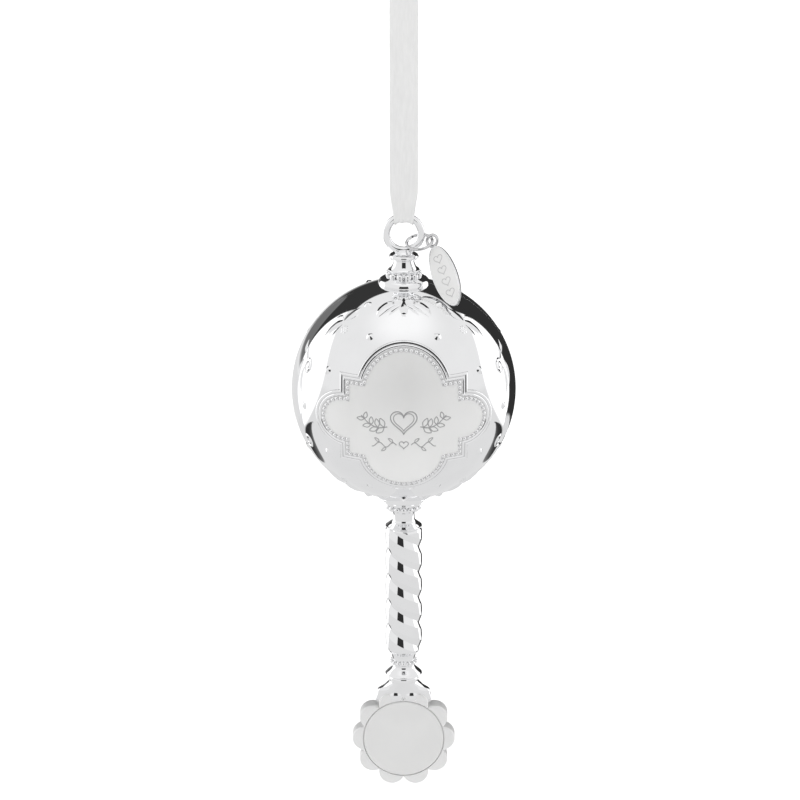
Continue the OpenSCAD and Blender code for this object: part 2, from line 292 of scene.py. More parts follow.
def smooth_line(points, steps):
    """A smooth curve through a few points, by Catmull-Rom."""
    points = np.asarray(points, float)
    padded = np.vstack([2 * points[0] - points[1], points, 2 * points[-1] - points[-2]])
    made = []
    for i in range(len(points) - 1):
        a, b, c, d = padded[i:i + 4]
        for t in np.arange(steps) / steps:
            made.append(0.5 * (2 * b + (c - a) * t + (2 * a - 5 * b + 4 * c - d) * t * t
                               + (3 * b - a - 3 * c + d) * t ** 3))
    made.append(points[-1])
    return np.array(made)


def arc(center, radius, start, stop, steps=6):
    """Points of a round arc in a lathe's profile, angles in degrees."""
    return [(center[0] + radius * cos(radians(start + (stop - start) * i / steps)),
             center[1] + radius * sin(radians(start + (stop - start) * i / steps)))
            for i in range(steps + 1)]


def round_axis(radius, angle, height):
    """A point at a distance from the vertical axis, its height counted from the ball's centre."""
    return BALL + [radius * cos(angle), radius * sin(angle), height]


def lathe(shape, profile, segments=128):
    """Turns a closed profile of (radius, height) points round the vertical axis."""
    verts = [round_axis(max(r, 1e-4), a, h) for r, h in profile for a in turns(segments)]
    shape.add(verts, grid_faces(len(profile), segments, wrap_rows=True))
    return shape


def ball_mesh(shape, center, radius, rings=12, segments=20):
    """A small round bead with its poles along Z."""
    center = np.array(center)
    verts = [center + [0, 0, radius]]
    for i in range(1, rings):
        a = pi * i / rings
        verts += [center + radius * np.array([sin(a) * cos(b), sin(a) * sin(b), cos(a)])
                  for b in turns(segments)]
    verts.append(center - [0, 0, radius])
    last = len(verts) - 1
    faces = [tuple(1 + n for n in f) for f in flipped(grid_faces(rings - 1, segments))]
    for k in range(segments):
        k2 = (k + 1) % segments
        faces.append((0, 1 + k, 1 + k2))
        faces.append((last, last - segments + k2, last - segments + k))
    shape.add(verts, faces)


def tube(shape, points, radii, sides=24, closed=False, up=(0, 0, 1)):
    """A round tube along points; radii is one number or one a point."""
    points = np.asarray(points, float)
    n = len(points)
    radii = np.full(n, radii, float) if np.isscalar(radii) else np.asarray(radii, float)
    ahead = np.roll(points, -1, 0) - np.roll(points, 1, 0)
    if not closed:
        ahead[0], ahead[-1] = points[1] - points[0], points[-1] - points[-2]
    ahead /= np.linalg.norm(ahead, axis=1)[:, None]
    side = np.cross(ahead, up)
    side /= np.linalg.norm(side, axis=1)[:, None]
    top = np.cross(side, ahead)
    turn = np.array(turns(sides))
    ring = side[:, None] * np.cos(turn)[None, :, None] + top[:, None] * np.sin(turn)[None, :, None]
    verts = (points[:, None] + ring * radii[:, None, None]).reshape(-1, 3)
    faces = grid_faces(n, sides, wrap_rows=closed)
    if not closed:
        faces += caps(n, sides)
    shape.add(verts, faces)


def slab(shape, top, bottom, faces, flip):
    """Two matching sheets of points, with walls along their open edge."""
    count = len(top)
    edges = [edge for f in faces for edge in zip(f, f[1:] + f[:1])]
    known = set(edges)
    walls = [(b, a, a + count, b + count) for a, b in edges if (b, a) not in known]
    faces = faces + [tuple(n + count for n in f[::-1]) for f in faces] + walls
    shape.add(np.vstack([top, bottom]), flipped(faces, flip))


STRIP_DEPTH = 0.03


def strip(shape, top, bottom):
    """A thin closed strip between two edges, each with its top and its bottom side."""
    rings = [top[0], top[1], bottom[1], bottom[0]]
    count = len(rings[0])
    faces = grid_faces(count, 4)
    if np.linalg.norm(rings[0][0] - rings[0][-1]) > 1e-6:
        faces += caps(count, 4)
    shape.add(np.stack(rings, 1).reshape(-1, 3), faces)


def thin_line(shape, line, half_width, place):
    """A thin strip along a flat line; place puts one of its points, and a depth, on the model."""
    line = np.asarray(line, float)
    ahead = np.gradient(line, axis=0)
    if np.linalg.norm(line[0] - line[-1]) < 1e-6:
        ahead[0] = ahead[-1] = ahead[0] + ahead[-1]
    ahead /= np.linalg.norm(ahead, axis=1)[:, None] + 1e-12
    side = np.stack([-ahead[:, 1], ahead[:, 0]], 1) * half_width
    strip(shape, *[[np.array([place(p, depth) for p in line + d]) for d in (side, -side)]
                   for depth in (0, STRIP_DEPTH)])


def heart_line(size, x=0.0, z=0.0, points=61):
    """The outline of a heart."""
    t = np.linspace(0, 2 * pi, points)
    height = 0.81 * np.cos(t) - 0.31 * np.cos(2 * t) - 0.13 * np.cos(3 * t) - 0.06 * np.cos(4 * t)
    return np.stack([x + size * np.sin(t) ** 3, z + size * height], 1)


# ---- Ribbon and knot: the cord, made first ----

RIBBON_W = 6.35
RIBBON_GATHERED_W = 3.95
RIBBON_T = 0.3
GATHER_FROM = -50.5
GATHER_TO = -57.9
RING_LINE_R = 3.93

# the same route as the CAD model's ribbon
HALF_ROUTE = [(0, -1.3, z) for z in (-2, -8, -16, -24, -32, -40, -48, -52, -54.5, -56.4)]
HALF_ROUTE += [(0, -1.2, -56.95), (0, -0.92, -57.37), (0, -0.5, -57.65)]
RIBBON_ROUTE = HALF_ROUTE + [(0, 0, -57.75)] + [(x, -y, z) for x, y, z in HALF_ROUTE[::-1]]


def gathered(z):
    """0 where the ribbon is flat, 1 at its fold through the ring."""
    return np.clip((GATHER_FROM - z) / (GATHER_FROM - GATHER_TO), 0, 1)


def flat_section(columns):
    """Across one face of a flat band and back along the other: -1 to 1, and the face."""
    return [((-1 + 2 * k / columns) * face, face) for face in (1, -1) for k in range(columns + 1)]


def make_ribbon():
    route = smooth_line(RIBBON_ROUTE, 12)
    route[:, 1] = np.clip(route[:, 1], -1.3, 1.3)
    ahead = np.gradient(route, axis=0)
    ahead /= np.linalg.norm(ahead, axis=1)[:, None]
    # away from the ring's wire
    out = np.stack([np.zeros(len(route)), -ahead[:, 2], ahead[:, 1]], 1)
    share = gathered(route[:, 2])
    length = np.concatenate([[0], np.cumsum(np.linalg.norm(np.diff(route, axis=0), axis=1))])
    section = flat_section(28)
    verts = []
    for p, n, g, s in zip(route, out, share, length):
        width = RIBBON_W - (RIBBON_W - RIBBON_GATHERED_W) * g
        for u, face in section:
            x = u * width / 2
            bow = (RING_LINE_R - sqrt(RING_LINE_R ** 2 - min(abs(x), 2.2) ** 2)) * g
            crease = 0.16 * g * (1 + cos(2 * pi * (1.05 * u + 0.06))) / 2
            pleat = 0.05 * g * sin(9.5 * u + 0.8)
            ripple = 0.035 * sin(s * 0.33 + 2.1 * u) * (1 - g)
            thick = RIBBON_T / 2 * (0.5 + 0.5 * (1 - abs(u) ** 12))
            lift = face * thick - crease + pleat + ripple + 0.1 * g
            verts.append(p + np.array([x, 0, -bow]) + n * lift)
    faces = grid_faces(len(route), len(section)) + caps(len(route), len(section))
    ribbon = piece("satin_ribbon", verts, faces, RIBBON, None, ["hanging_ribbon"], 60)
    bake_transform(ribbon)
    return ribbon, length[-1] * MM


def make_knot():
    """An overhand knot in both runs, with two cut tails."""
    shape = Shape()
    rings, segments = 40, 72
    verts = []
    for i in range(rings + 1):
        a = pi * i / rings
        for b in turns(segments):
            x = 3.35 * cos(a)
            wide = sin(a) ** 0.55
            fold = 0.12 * sin(5 * (b + 0.28 * x)) + 0.07 * sin(11 * (b + 0.35 * x) + 1)
            r = wide * (2.12 + fold * wide)
            z = r * sin(b) * 0.98
            verts.append((x, r * cos(b) * 0.9, max(z, -1.98)))
    shape.add(verts, flipped(grid_faces(rings + 1, segments)))
    for side in (-1, 1):
        line = smooth_line([(0, 0, 0.6), (0, side * 0.9, 2.8), (0, side * 2.3, 6), (0, side * 3.5, 9.2),
                            (0, side * 4.1, 11.4)], 8)
        section = flat_section(16)
        tail = []
        for i, p in enumerate(line):
            t = i / (len(line) - 1)
            width = 2.3 + 0.75 * t
            for u, face in section:
                notch = -2.1 * (1 - abs(u)) * t ** 3
                wave = 0.16 * sin(3 * u + 2.2 * t + side)
                tail.append(p + np.array([u * width, face * side * 0.07 + wave, notch * 0.9]))
        faces = grid_faces(len(line), len(section)) + flipped(caps(len(line), len(section)))
        shape.add(tail, flipped(faces, side < 0))
    return shape.make("ribbon_overhand_knot", RIBBON, "hang_loop", ["ribbon_knot"], 60)


knot = make_knot()
ribbon, ribbon_length = make_ribbon()


# ---- Suspension ring, jump ring and charm ----

ring_low, ring_high = box_mm("suspension_ring")
RING_WIRE_R = (ring_high[0] - ring_low[0]) / 2 - RING_LINE_R
RING_Z = ring_high[2] - RING_LINE_R - RING_WIRE_R


def make_suspension_ring():
    shape = Shape()
    line = [(RING_LINE_R * sin(a), 0, RING_Z + RING_LINE_R * cos(a)) for a in turns(160)]
    tube(shape, line, RING_WIRE_R, 40, closed=True, up=(0, 1, 0))
    base = height_range("finial_collar")[1]
    lathe(shape, [(0, base), (2.0, base), (2.05, base + 0.12), (1.8, base + 0.3), (1.45, base + 0.6),
                  (1.25, base + 0.95), (0, base + 1.0)], segments=64)
    shape.make_silver("suspension_ring_wire", ["suspension_ring"])


JUMP_CENTRE = BALL + [3.5, 0, 34.55]
JUMP_LINE_R = 2.9
JUMP_WIRE_R = 0.33
JUMP_TILT = radians(18.6)
JUMP_ROLL = radians(8)


def turn_x(p, a):
    return np.array([p[0], p[1] * cos(a) - p[2] * sin(a), p[1] * sin(a) + p[2] * cos(a)])


def turn_y(p, a):
    return np.array([p[0] * cos(a) + p[2] * sin(a), p[1], -p[0] * sin(a) + p[2] * cos(a)])


def make_jump_ring():
    shape = Shape()
    split = radians(3)
    line = []
    for a in np.linspace(radians(125) + split, radians(125) + 2 * pi - split, 120):
        p = np.array([JUMP_LINE_R * cos(a), JUMP_LINE_R * sin(a), 0])
        line.append(JUMP_CENTRE + turn_y(turn_x(p, JUMP_TILT), -JUMP_ROLL))
    tube(shape, line, JUMP_WIRE_R, 20, up=(0.1, 0.2, 1))
    shape.make("jump_ring_wire", WIRE, "jump_ring", ["jump_ring"], 50)


EYE_CENTRE = BALL + [6.37, -0.3, 34.95]
EYE_LINE_R = 1.3
EYE_WIRE_R = 0.34
EYE_TO_PLATE = 1.45
CHARM_SLANT = radians(-23)
CHARM_LEAN = radians(34)
CHARM_TURN = radians(-15)
CHARM_LONG = 7.4
CHARM_WIDE = 3.0
CHARM_RIM = 0.3


def charm_place(p):
    """From the charm's own plane, its eye at the origin, to the model."""
    p = turn_y(np.asarray(p, float), CHARM_TURN)
    p = turn_x(p, pi / 2 - CHARM_LEAN)
    return EYE_CENTRE + turn_y(p, CHARM_SLANT)


def make_charm():
    shape = Shape()
    middle = -EYE_TO_PLATE - CHARM_LONG
    segments = 144
    # how far in from the edge, and how high, on the front; then the same on the rear face
    front = [(0.0, 0.3), (0.02, 0.4), (0.07, 0.47), (0.14, 0.5), (CHARM_RIM - 0.06, 0.5), (CHARM_RIM, 0.47),
             (CHARM_RIM + 0.06, 0.37), (CHARM_RIM + 0.12, 0.35)]
    front += [(CHARM_RIM + 0.12 + (CHARM_WIDE - CHARM_RIM - 0.13) * i / 8, 0.35) for i in range(1, 9)]
    rear = [(0.0, -0.3), (0.02, -0.4), (0.07, -0.47), (0.14, -0.5), (1.5, -0.5), (CHARM_WIDE - 0.01, -0.5)]
    edge = [(0.03, -0.06), (0.03, 0.06)]
    profile = rear[::-1] + edge + front

    def oval_rings(profile):
        points = []
        for inset, z in profile:
            inner = (CHARM_LONG - 1) * (CHARM_WIDE - inset) / (CHARM_WIDE - 1)
            long = CHARM_LONG - inset if inset < 1 else inner
            wide = CHARM_WIDE - inset
            points += [charm_place((wide * cos(a), middle + long * sin(a), z)) for a in turns(segments)]
        return points

    shape.add(oval_rings(profile), grid_faces(len(profile), segments))
    shape.make_charm_part("oval_charm_plate", POLISHED, 30, ["oval_charm"])
    # dark bands on both shoulders of the rim: painted shade along the charm's edge
    lines = Shape()
    for low, high in ((-0.26, -0.1), (0.12, 0.26)):
        lines.add(oval_rings([(-0.01, low), (-0.01, high), (0.03, high), (0.03, low)]),
                  grid_faces(4, segments, wrap_rows=True))
    lines.make_charm_part("charm_edge_painted_shade", EDGE_SHADE)
    eye = Shape()
    line = [charm_place((EYE_LINE_R * cos(a), EYE_LINE_R * sin(a), 0)) for a in turns(72)]
    normal = charm_place((0, 0, 1)) - charm_place((0, 0, 0))
    tube(eye, line, EYE_WIRE_R, 20, closed=True, up=tuple(normal))
    eye.make_charm_part("charm_eye", WIRE, 30)
    face = [(CHARM_RIM + 0.09, 0.34)]
    face += [(inset, 0.365) for inset in (CHARM_RIM + 0.1, 1.2, 2.2, CHARM_WIDE - 0.01)]
    satin = Shape().add(oval_rings(face), grid_faces(len(face), segments))
    satin.make_charm_part("charm_satin_face", CHARM_SATIN, 40)
    # the engraved hearts, drawn only as dark lines on the face: painted shade that partly stands for oxide
    marks = Shape()
    for i in range(4):
        heart = heart_line(1.05, 0, middle + 4.2 - 2.8 * i, 37)
        thin_line(marks, heart, 0.1, lambda q, depth: charm_place((q[0], q[1], 0.372 - depth)))
    marks.make_charm_part("charm_hearts_painted_shade", CHARM_ENGRAVING_SHADE)


make_suspension_ring()
make_jump_ring()
make_charm()


# ---- Turned pieces of the finial and the handle ----

BORE_R = 1.22


def turned(name, node, make_profile):
    """A turned piece round the bore; its profile is made for the node's height, upwards from its foot."""
    low, high = height_range(node)
    profile = [(r, low + h) for r, h in make_profile(high - low)]
    shape = lathe(Shape(), [(BORE_R, profile[0][1]), *profile, (BORE_R, profile[-1][1])])
    shape.make_silver(name, [node])


def beaded(name, node, line_r, bead_r, count):
    """A ring of round beads on a core."""
    low, high = height_range(node)
    core = line_r - bead_r * 0.3
    shape = lathe(Shape(), [
        (BORE_R, low), (core - 0.12, low), (core, low + 0.12), (core, high - 0.12), (core - 0.12, high),
        (BORE_R, high)], segments=96)
    for a in turns(count, 0.5):
        ball_mesh(shape, round_axis(line_r, a, (low + high) / 2), bead_r)
    shape.make_silver(name, [node])


def ball_height(radius):
    """Height of the ball's surface, just clear of it, at a distance from the axis."""
    return sqrt((BALL_R + 0.03) ** 2 - radius ** 2)


def make_finial():
    turned("finial_round_collar", "finial_collar", lambda top: [
        (2.2, -0.2), (2.5, -0.18), *arc((2.76, 0.39), 0.56, -85, 80, 16), (2.45, top - 0.03), (2.2, top)])
    turned("finial_flared_neck", "finial_neck", lambda top: [
        (3.1, 0), (3.35, 0.05), *arc((3.4, 0.22), 0.13, -70, 70, 6),
        *smooth_line([(3.34, 0.38), (3.05, 0.62), (2.78, 0.95), (2.52, 1.45), (2.34, 2.0), (2.24, 2.5),
                      (2.3, top)], 6)])
    beaded("finial_beads", "finial_bead_ring", 3.42, 0.8, 12)
    low = height_range("ball_top_cap")[0]
    seat = ball_height(5.6) - low
    turned("ball_domed_cap", "ball_top_cap", lambda top: [
        *[(r, ball_height(r) - low) for r in (BORE_R, 2.5, 4.0, 5.0)], (5.6, seat - 0.1),
        *arc((4.42, seat + 0.15), 1.4, -9, 46, 16),
        *smooth_line([(4.95, seat + 1.4), (4.5, seat + 1.6), (4.05, seat + 1.78), (3.6, seat + 1.82)], 4),
        (3.2, top)])


def make_handle_ends():
    low = height_range("ball_base_cap")[0]
    turned("ball_base_flange", "ball_base_cap", lambda top: [
        (3.6, 0), (4.1, 0), *smooth_line([(4.2, 0.12), (4.55, 0.6), (5.02, 1.05)], 4), (5.1, 1.2),
        (5.08, 1.4), (5.02, -25.2 - low), *[(r, -ball_height(r) - low) for r in (5.0, 3.0, BORE_R)]])
    beaded("base_beads", "base_bead_ring", 3.42, 0.74, 14)
    turned("handle_flared_neck", "handle_neck", lambda top: [
        (4.0, 0), *arc((4.06, 0.16), 0.15, -80, 70, 6),
        *smooth_line([(4.0, 0.36), (3.4, 0.85), (2.82, 1.3), (2.56, 1.75), (2.5, 2.4), (2.5, top - 1.0),
                      (2.62, top - 0.4), (2.85, top)], 6)])
    turned("tapered_ferrule", "lower_ferrule", lambda top: [
        (2.55, 0), (2.7, 0.1), (2.72, 0.7), (2.82, 0.9),
        *smooth_line([(2.86, 1.1), (3.05, 1.5), (3.4, 1.85), (3.55, top)], 4)])
    beaded("lower_beads", "lower_bead_ring", 2.72, 0.52, 14)
    turned("sharp_disc", "lower_disc", lambda top: [
        (3.2, 0), (3.4, 0.03), *smooth_line([(3.7, 0.1), (4.05, 0.24)], 3),
        *arc((4.16, 0.42), 0.12, -60, 70, 6),
        *smooth_line([(4.12, 0.6), (3.75, 1.0), (3.2, 1.5), (2.72, 1.95), (2.52, 2.35), (2.5, top)], 5)])


HANDLE_R = 4.25
GROOVE = 0.66
TWIST_PITCH = 12.5
TWIST_START = radians(104)
CREST_SHARE = 0.45


def twist_radius(a):
    """Radius of the handle: a broad flat strand on each side, with a V groove between them."""
    off = abs((a + pi / 2) % pi - pi / 2) / (pi / 2)
    groove = GROOVE * max(0, (off - CREST_SHARE) / (1 - CREST_SHARE))
    return HANDLE_R - groove - 0.05 * min(1, off / CREST_SHARE) ** 2


def make_twisted_handle():
    low, high = height_range("twisted_handle")
    rings, segments = 260, 160
    verts = []
    for i in range(rings + 1):
        h = low + (high - low) * i / rings
        from_end = min(h - low, high - h)
        ends = 0.55 * max(0, 1 - from_end / 0.9) ** 2
        turn = TWIST_START + 2 * pi * (low - h) / TWIST_PITCH
        verts += [round_axis(twist_radius(a) - ends, a + turn, h) for a in turns(segments)]
    shape = Shape().add(verts, grid_faces(rings + 1, segments))
    bore = [round_axis(BORE_R, a, h) for h in (low, high) for a in turns(32)]
    shape.add(bore, flipped(grid_faces(2, 32)))
    shape.make_silver("twisted_grip", ["twisted_handle"], 17)


make_finial()
make_handle_ends()
make_twisted_handle()


# ---- Ball ----

SIDES = (("front", -1), ("rear", 1))
SHELL_WALL = 0.9
SEAM_EDGE = 0.06


def on_ball(azimuth, latitude, radius):
    """A point on a ball round the ball's centre; azimuth 0 is the front, degrees to the right."""
    a, b = radians(azimuth), radians(latitude)
    return BALL + radius * np.array([sin(a) * cos(b), -cos(a) * cos(b), sin(b)])


def make_half_ball(end, side):
    """A half shell whose pole is at the front or the back, so that its rings end in the seam."""
    rings, inner_rings, segments = 90, 24, 256
    inside = BALL_R - SHELL_WALL
    seam = pi / 2
    profile = [(min(seam * i / rings, seam - SEAM_EDGE / BALL_R), BALL_R) for i in range(rings)]
    profile += [(seam - 0.3 * SEAM_EDGE / BALL_R, BALL_R - 0.02), (seam - 0.002 / BALL_R, BALL_R - 0.06),
                (seam - 0.002 / BALL_R, inside)]
    profile += [(seam * (1 - i / inner_rings), inside) for i in range(1, inner_rings + 1)]
    verts = []
    for a, r in profile:
        a = max(a, 1e-4)
        verts += [BALL + [r * sin(a) * cos(b), side * r * cos(a), r * sin(a) * sin(b)]
                  for b in turns(segments)]
    shape = Shape().add(verts, flipped(grid_faces(len(profile), segments), side > 0))
    shape.make_silver(f"ball_{end}_half", [f"ball_{end}_shell"], 30)


for half in SIDES:
    make_half_ball(*half)


# ---- Cartouche ----

LOBE_TALL = (6.6, 10.6)
LOBE_WIDE = (13.0, 6.4)
CORNER = (14.0, 10.0)
PLATE_RISE = 0.4


def cartouche_outline(inset, arc_steps=40, flat_steps=6):
    """The cartouche's outline seen from the front, counted from the right end of its top lobe."""
    tall_z, tall_r = LOBE_TALL[0], LOBE_TALL[1] - inset
    wide_x, wide_r = LOBE_WIDE[0], LOBE_WIDE[1] - inset
    corner_x, corner_z = CORNER[0] - inset, CORNER[1] - inset
    meet_x = sqrt(tall_r ** 2 - (corner_z - tall_z) ** 2)
    meet_z = sqrt(wide_r ** 2 - (corner_x - wide_x) ** 2)
    half_tall = atan2(meet_x, corner_z - tall_z)
    half_wide = atan2(meet_z, corner_x - wide_x)
    points = []
    for quarter in range(4):
        tall = quarter in (0, 2)
        sign = 1 if quarter in (0, 1) else -1
        half = half_tall if tall else half_wide
        for a in [-half + 2 * half * i / arc_steps for i in range(arc_steps)]:
            if tall:
                points.append((sign * tall_r * sin(a), sign * (tall_z + tall_r * cos(a))))
            else:
                points.append((sign * (wide_x + wide_r * cos(a)), -sign * wide_r * sin(a)))
        ends = [(meet_x, corner_z), (corner_x, corner_z), (corner_x, meet_z)]
        if not tall:
            ends = [(x, -z) for x, z in ends[::-1]]
        ends = [(sign * x, sign * z) for x, z in ends]
        for (x1, z1), (x2, z2) in zip(ends, ends[1:]):
            points += [(x1 + (x2 - x1) * i / flat_steps, z1 + (z2 - z1) * i / flat_steps)
                       for i in range(flat_steps)]
    return np.array(points)


def lift(points, rise, side):
    """Points seen from the front or the back, put on the ball and raised above it."""
    points = np.asarray(points, float)
    rise = np.broadcast_to(rise, len(points))
    y = np.sqrt(BALL_R ** 2 - points[:, 0] ** 2 - points[:, 1] ** 2)
    direction = np.stack([points[:, 0], side * y, points[:, 1]], 1) / BALL_R
    return BALL + direction * (BALL_R + rise)[:, None]


# how far in from the outline, and how high above the ball
MOULDING = [(0.0, -0.15), (0.0, 0.3), (0.06, 0.46), (0.2, 0.6), (0.36, 0.62), (0.5, 0.52), (0.6, 0.42),
            (0.68, 0.42), (0.78, 0.55), (0.92, 0.64), (1.06, 0.6), (1.2, 0.46), (1.28, 0.3), (1.28, 0.1)]
BEAD_INSET = 1.8
BEAD_PITCH = 1.13
BEAD_R = 0.47
BEAD_RISE = 0.36


def make_frame(end, side):
    rows = [lift(cartouche_outline(inset), rise, side) for inset, rise in MOULDING]
    shape = Shape().add(np.concatenate(rows), flipped(grid_faces(len(rows), len(rows[0])), side < 0))
    shape.make_silver(f"{end}_cartouche_moulding", [f"{end}_frame"], 40)


def make_beads(end, side):
    shape = Shape()
    outline = cartouche_outline(BEAD_INSET)
    ring = lift(np.vstack([outline, outline[:1]]), 0, side)
    along = np.concatenate([[0], np.cumsum(np.linalg.norm(np.diff(ring, axis=0), axis=1))])
    count = round(along[-1] / BEAD_PITCH)
    for i in range(count):
        s = (i + 0.5) * along[-1] / count
        spot = np.array([np.interp(s, along, ring[:, c]) for c in range(3)])
        out = (spot - BALL) / np.linalg.norm(spot - BALL)
        ball_mesh(shape, BALL + out * (BALL_R + BEAD_RISE), BEAD_R, 8, 12)
    shape.make_silver(f"{end}_cartouche_beads", (), 60)


def make_groove_shade(end, side):
    """Painted shade in the grooves of the moulding and in the bed of its beads: thin dark strips that partly
    also stand for oxide in those recesses.
    """
    shape = Shape()
    for inset, half_width, rise in ((-0.02, 0.07, 0.2), (0.64, 0.08, 0.45), (1.3, 0.07, PLATE_RISE + 0.02),
                                    (BEAD_INSET, 0.3, PLATE_RISE + 0.01)):
        edges = [cartouche_outline(inset - half_width), cartouche_outline(inset + half_width)]
        edges = [np.vstack([edge, edge[:1]]) for edge in edges]
        strip(shape, *[[lift(edge, rise - depth, side) for edge in edges[::side]]
                       for depth in (0, STRIP_DEPTH)])
    shape.make_silver(f"{end}_cartouche_painted_groove_shade", (), 60, GROOVE_SHADE)


def line_distance(x, z, line):
    """Distance from each point to a line of points."""
    best = np.full(x.shape, 1e9)
    for (x1, z1), (x2, z2) in zip(line, line[1:]):
        dx, dz = x2 - x1, z2 - z1
        t = np.clip(((x - x1) * dx + (z - z1) * dz) / (dx * dx + dz * dz + 1e-12), 0, 1)
        best = np.minimum(best, np.hypot(x - x1 - t * dx, z - z1 - t * dz))
    return best


VINE_Z = -4.9


def vine_height(x):
    return VINE_Z + 0.55 * sin(2.1 * (x - 1.6))


def engraved_lines():
    """A heart between two leaf sprigs, over a wavy vine with a small heart: lines to engrave in the plate."""
    lines = [(heart_line(2.9, 0, 0.75), 0.15), (heart_line(2.25, 0, 0.8), 0.12)]
    for side in (-1, 1):
        stem = smooth_line([(3.6, -0.6), (5.4, -0.9), (7.4, -0.2), (9.3, 1.6)], 8)
        lines.append((stem * [side, 1], 0.13))
        for i in range(4):
            root = stem[3 + 6 * i]
            for up in (-1, 1):
                lean = radians(14 + 13 * i + up * 52)
                long = 2.2 - 0.2 * i
                tip = root + long * np.array([cos(lean), sin(lean)])
                bend, back = (root + 0.55 * long * np.array([cos(b), sin(b)])
                              for b in (lean + up * 0.5, lean - up * 0.45))
                leaf = smooth_line([root, bend, tip, back, root], 6)
                lines.append((leaf * [side, 1], 0.12))
        vine = np.array([(side * x, vine_height(x)) for x in np.linspace(1.6, 7.0, 46)])
        lines.append((vine, 0.13))
        for x in (2.35, 3.85, 5.35):
            crest = vine_height(x)
            up = 1 if crest > VINE_Z else -1
            petal = smooth_line([(x, crest), (x + 0.6, crest + up * 0.35), (x + 1.0, crest + up * 1.0),
                                 (x + 0.25, crest + up * 0.75), (x, crest)], 5)
            lines.append((petal * [side, 1], 0.11))
    lines.append((heart_line(1.0, 0, -4.8), 0.12))
    return lines


def inside_cartouche(x, z, inset):
    tall = np.hypot(x, np.abs(z) - LOBE_TALL[0]) < LOBE_TALL[1] - inset
    wide = np.hypot(np.abs(x) - LOBE_WIDE[0], z) < LOBE_WIDE[1] - inset
    corner = (np.abs(x) < CORNER[0] - inset) & (np.abs(z) < CORNER[1] - inset)
    return tall | wide | corner


def make_plaque(name, node, side, engraved):
    """The plate inside the frame: a fine grid, pressed down along the engraved lines."""
    pitch = 0.14
    half_w, half_h = LOBE_WIDE[0] + LOBE_WIDE[1], LOBE_TALL[0] + LOBE_TALL[1]
    xs = np.arange(-half_w, half_w + pitch, pitch)
    zs = np.arange(-half_h, half_h + pitch, pitch)
    x, z = np.meshgrid(xs, zs)
    keep = inside_cartouche(x, z, 1.0)
    rise = np.full(x.shape, PLATE_RISE)
    if engraved:
        for line, width in engraved_lines():
            low, high = line.min(0) - 1, line.max(0) + 1
            near = (x > low[0]) & (x < high[0]) & (z > low[1]) & (z < high[1])
            d = line_distance(x[near], z[near], line)
            cut = 0.13 * np.clip(1.35 - d / width, 0, 1)
            rise[near] = np.minimum(rise[near], PLATE_RISE - cut)
    number = np.cumsum(keep.ravel()).reshape(keep.shape) - 1
    full = keep[:-1, :-1] & keep[1:, :-1] & keep[:-1, 1:] & keep[1:, 1:]
    rows, columns = np.nonzero(full)
    top = lift(np.stack([x[keep], z[keep]], 1), rise[keep], side)
    bottom = lift(np.stack([x[keep], z[keep]], 1), 0.1, side)
    quads = [tuple(int(n) for n in (number[i, k], number[i, k + 1], number[i + 1, k + 1], number[i + 1, k]))
             for i, k in zip(rows, columns)]
    shape = Shape()
    slab(shape, top, bottom, quads, side > 0)
    shape.make_silver(name, [node], 50, SATIN, "satin_silver")


def make_engraving_shade(name, side):
    """Painted shade in the engraved lines: dark strips at the bottoms of the cuts, partly standing for oxide
    there.
    """
    shape = Shape()
    for line, width in engraved_lines():
        thin_line(shape, line, width * 0.85, lambda q, d: lift([q], PLATE_RISE - 0.05 - d, side)[0])
    shape.make_silver(name, (), 60, ENGRAVING_SHADE, "satin_silver")


# the last of these lays strips of painted shade in the moulding's grooves and the beads' bed
for make_part in (make_frame, make_beads, make_groove_shade):
    for half in SIDES:
        make_part(*half)
make_plaque("front_engraved_plate", "front_plaque", -1, True)
# painted shade laid into the front plate's engraved lines
make_engraving_shade("front_plate_painted_engraving_shade", -1)
make_plaque("rear_plain_plate", "rear_plaque", 1, False)


# ---- Relief on the ball ----

def tangent_frame(azimuth, latitude):
    """A spot on the ball with the directions right and up on its surface."""
    out = on_ball(azimuth, latitude, 1) - BALL
    right = np.array([cos(radians(azimuth)), sin(radians(azimuth)), 0])
    return out, right, np.cross(out, right)


def wrap_on_ball(flat, rise, place, mirror=1):
    """Flat points round a spot, in millimetres, wrapped on to the ball."""
    out, right, up = tangent_frame(*place)
    u, v = mirror * flat[:, 0], flat[:, 1]
    reach = np.hypot(u, v)
    angle = reach / BALL_R
    share = np.where(reach > 1e-9, np.sin(angle) / np.maximum(reach, 1e-9), 1 / BALL_R)
    direction = out * np.cos(angle)[:, None] + (right * u[:, None] + up * v[:, None]) * share[:, None]
    return BALL + direction * (BALL_R + rise)[:, None]


RIDGE_SHARE = 1.4


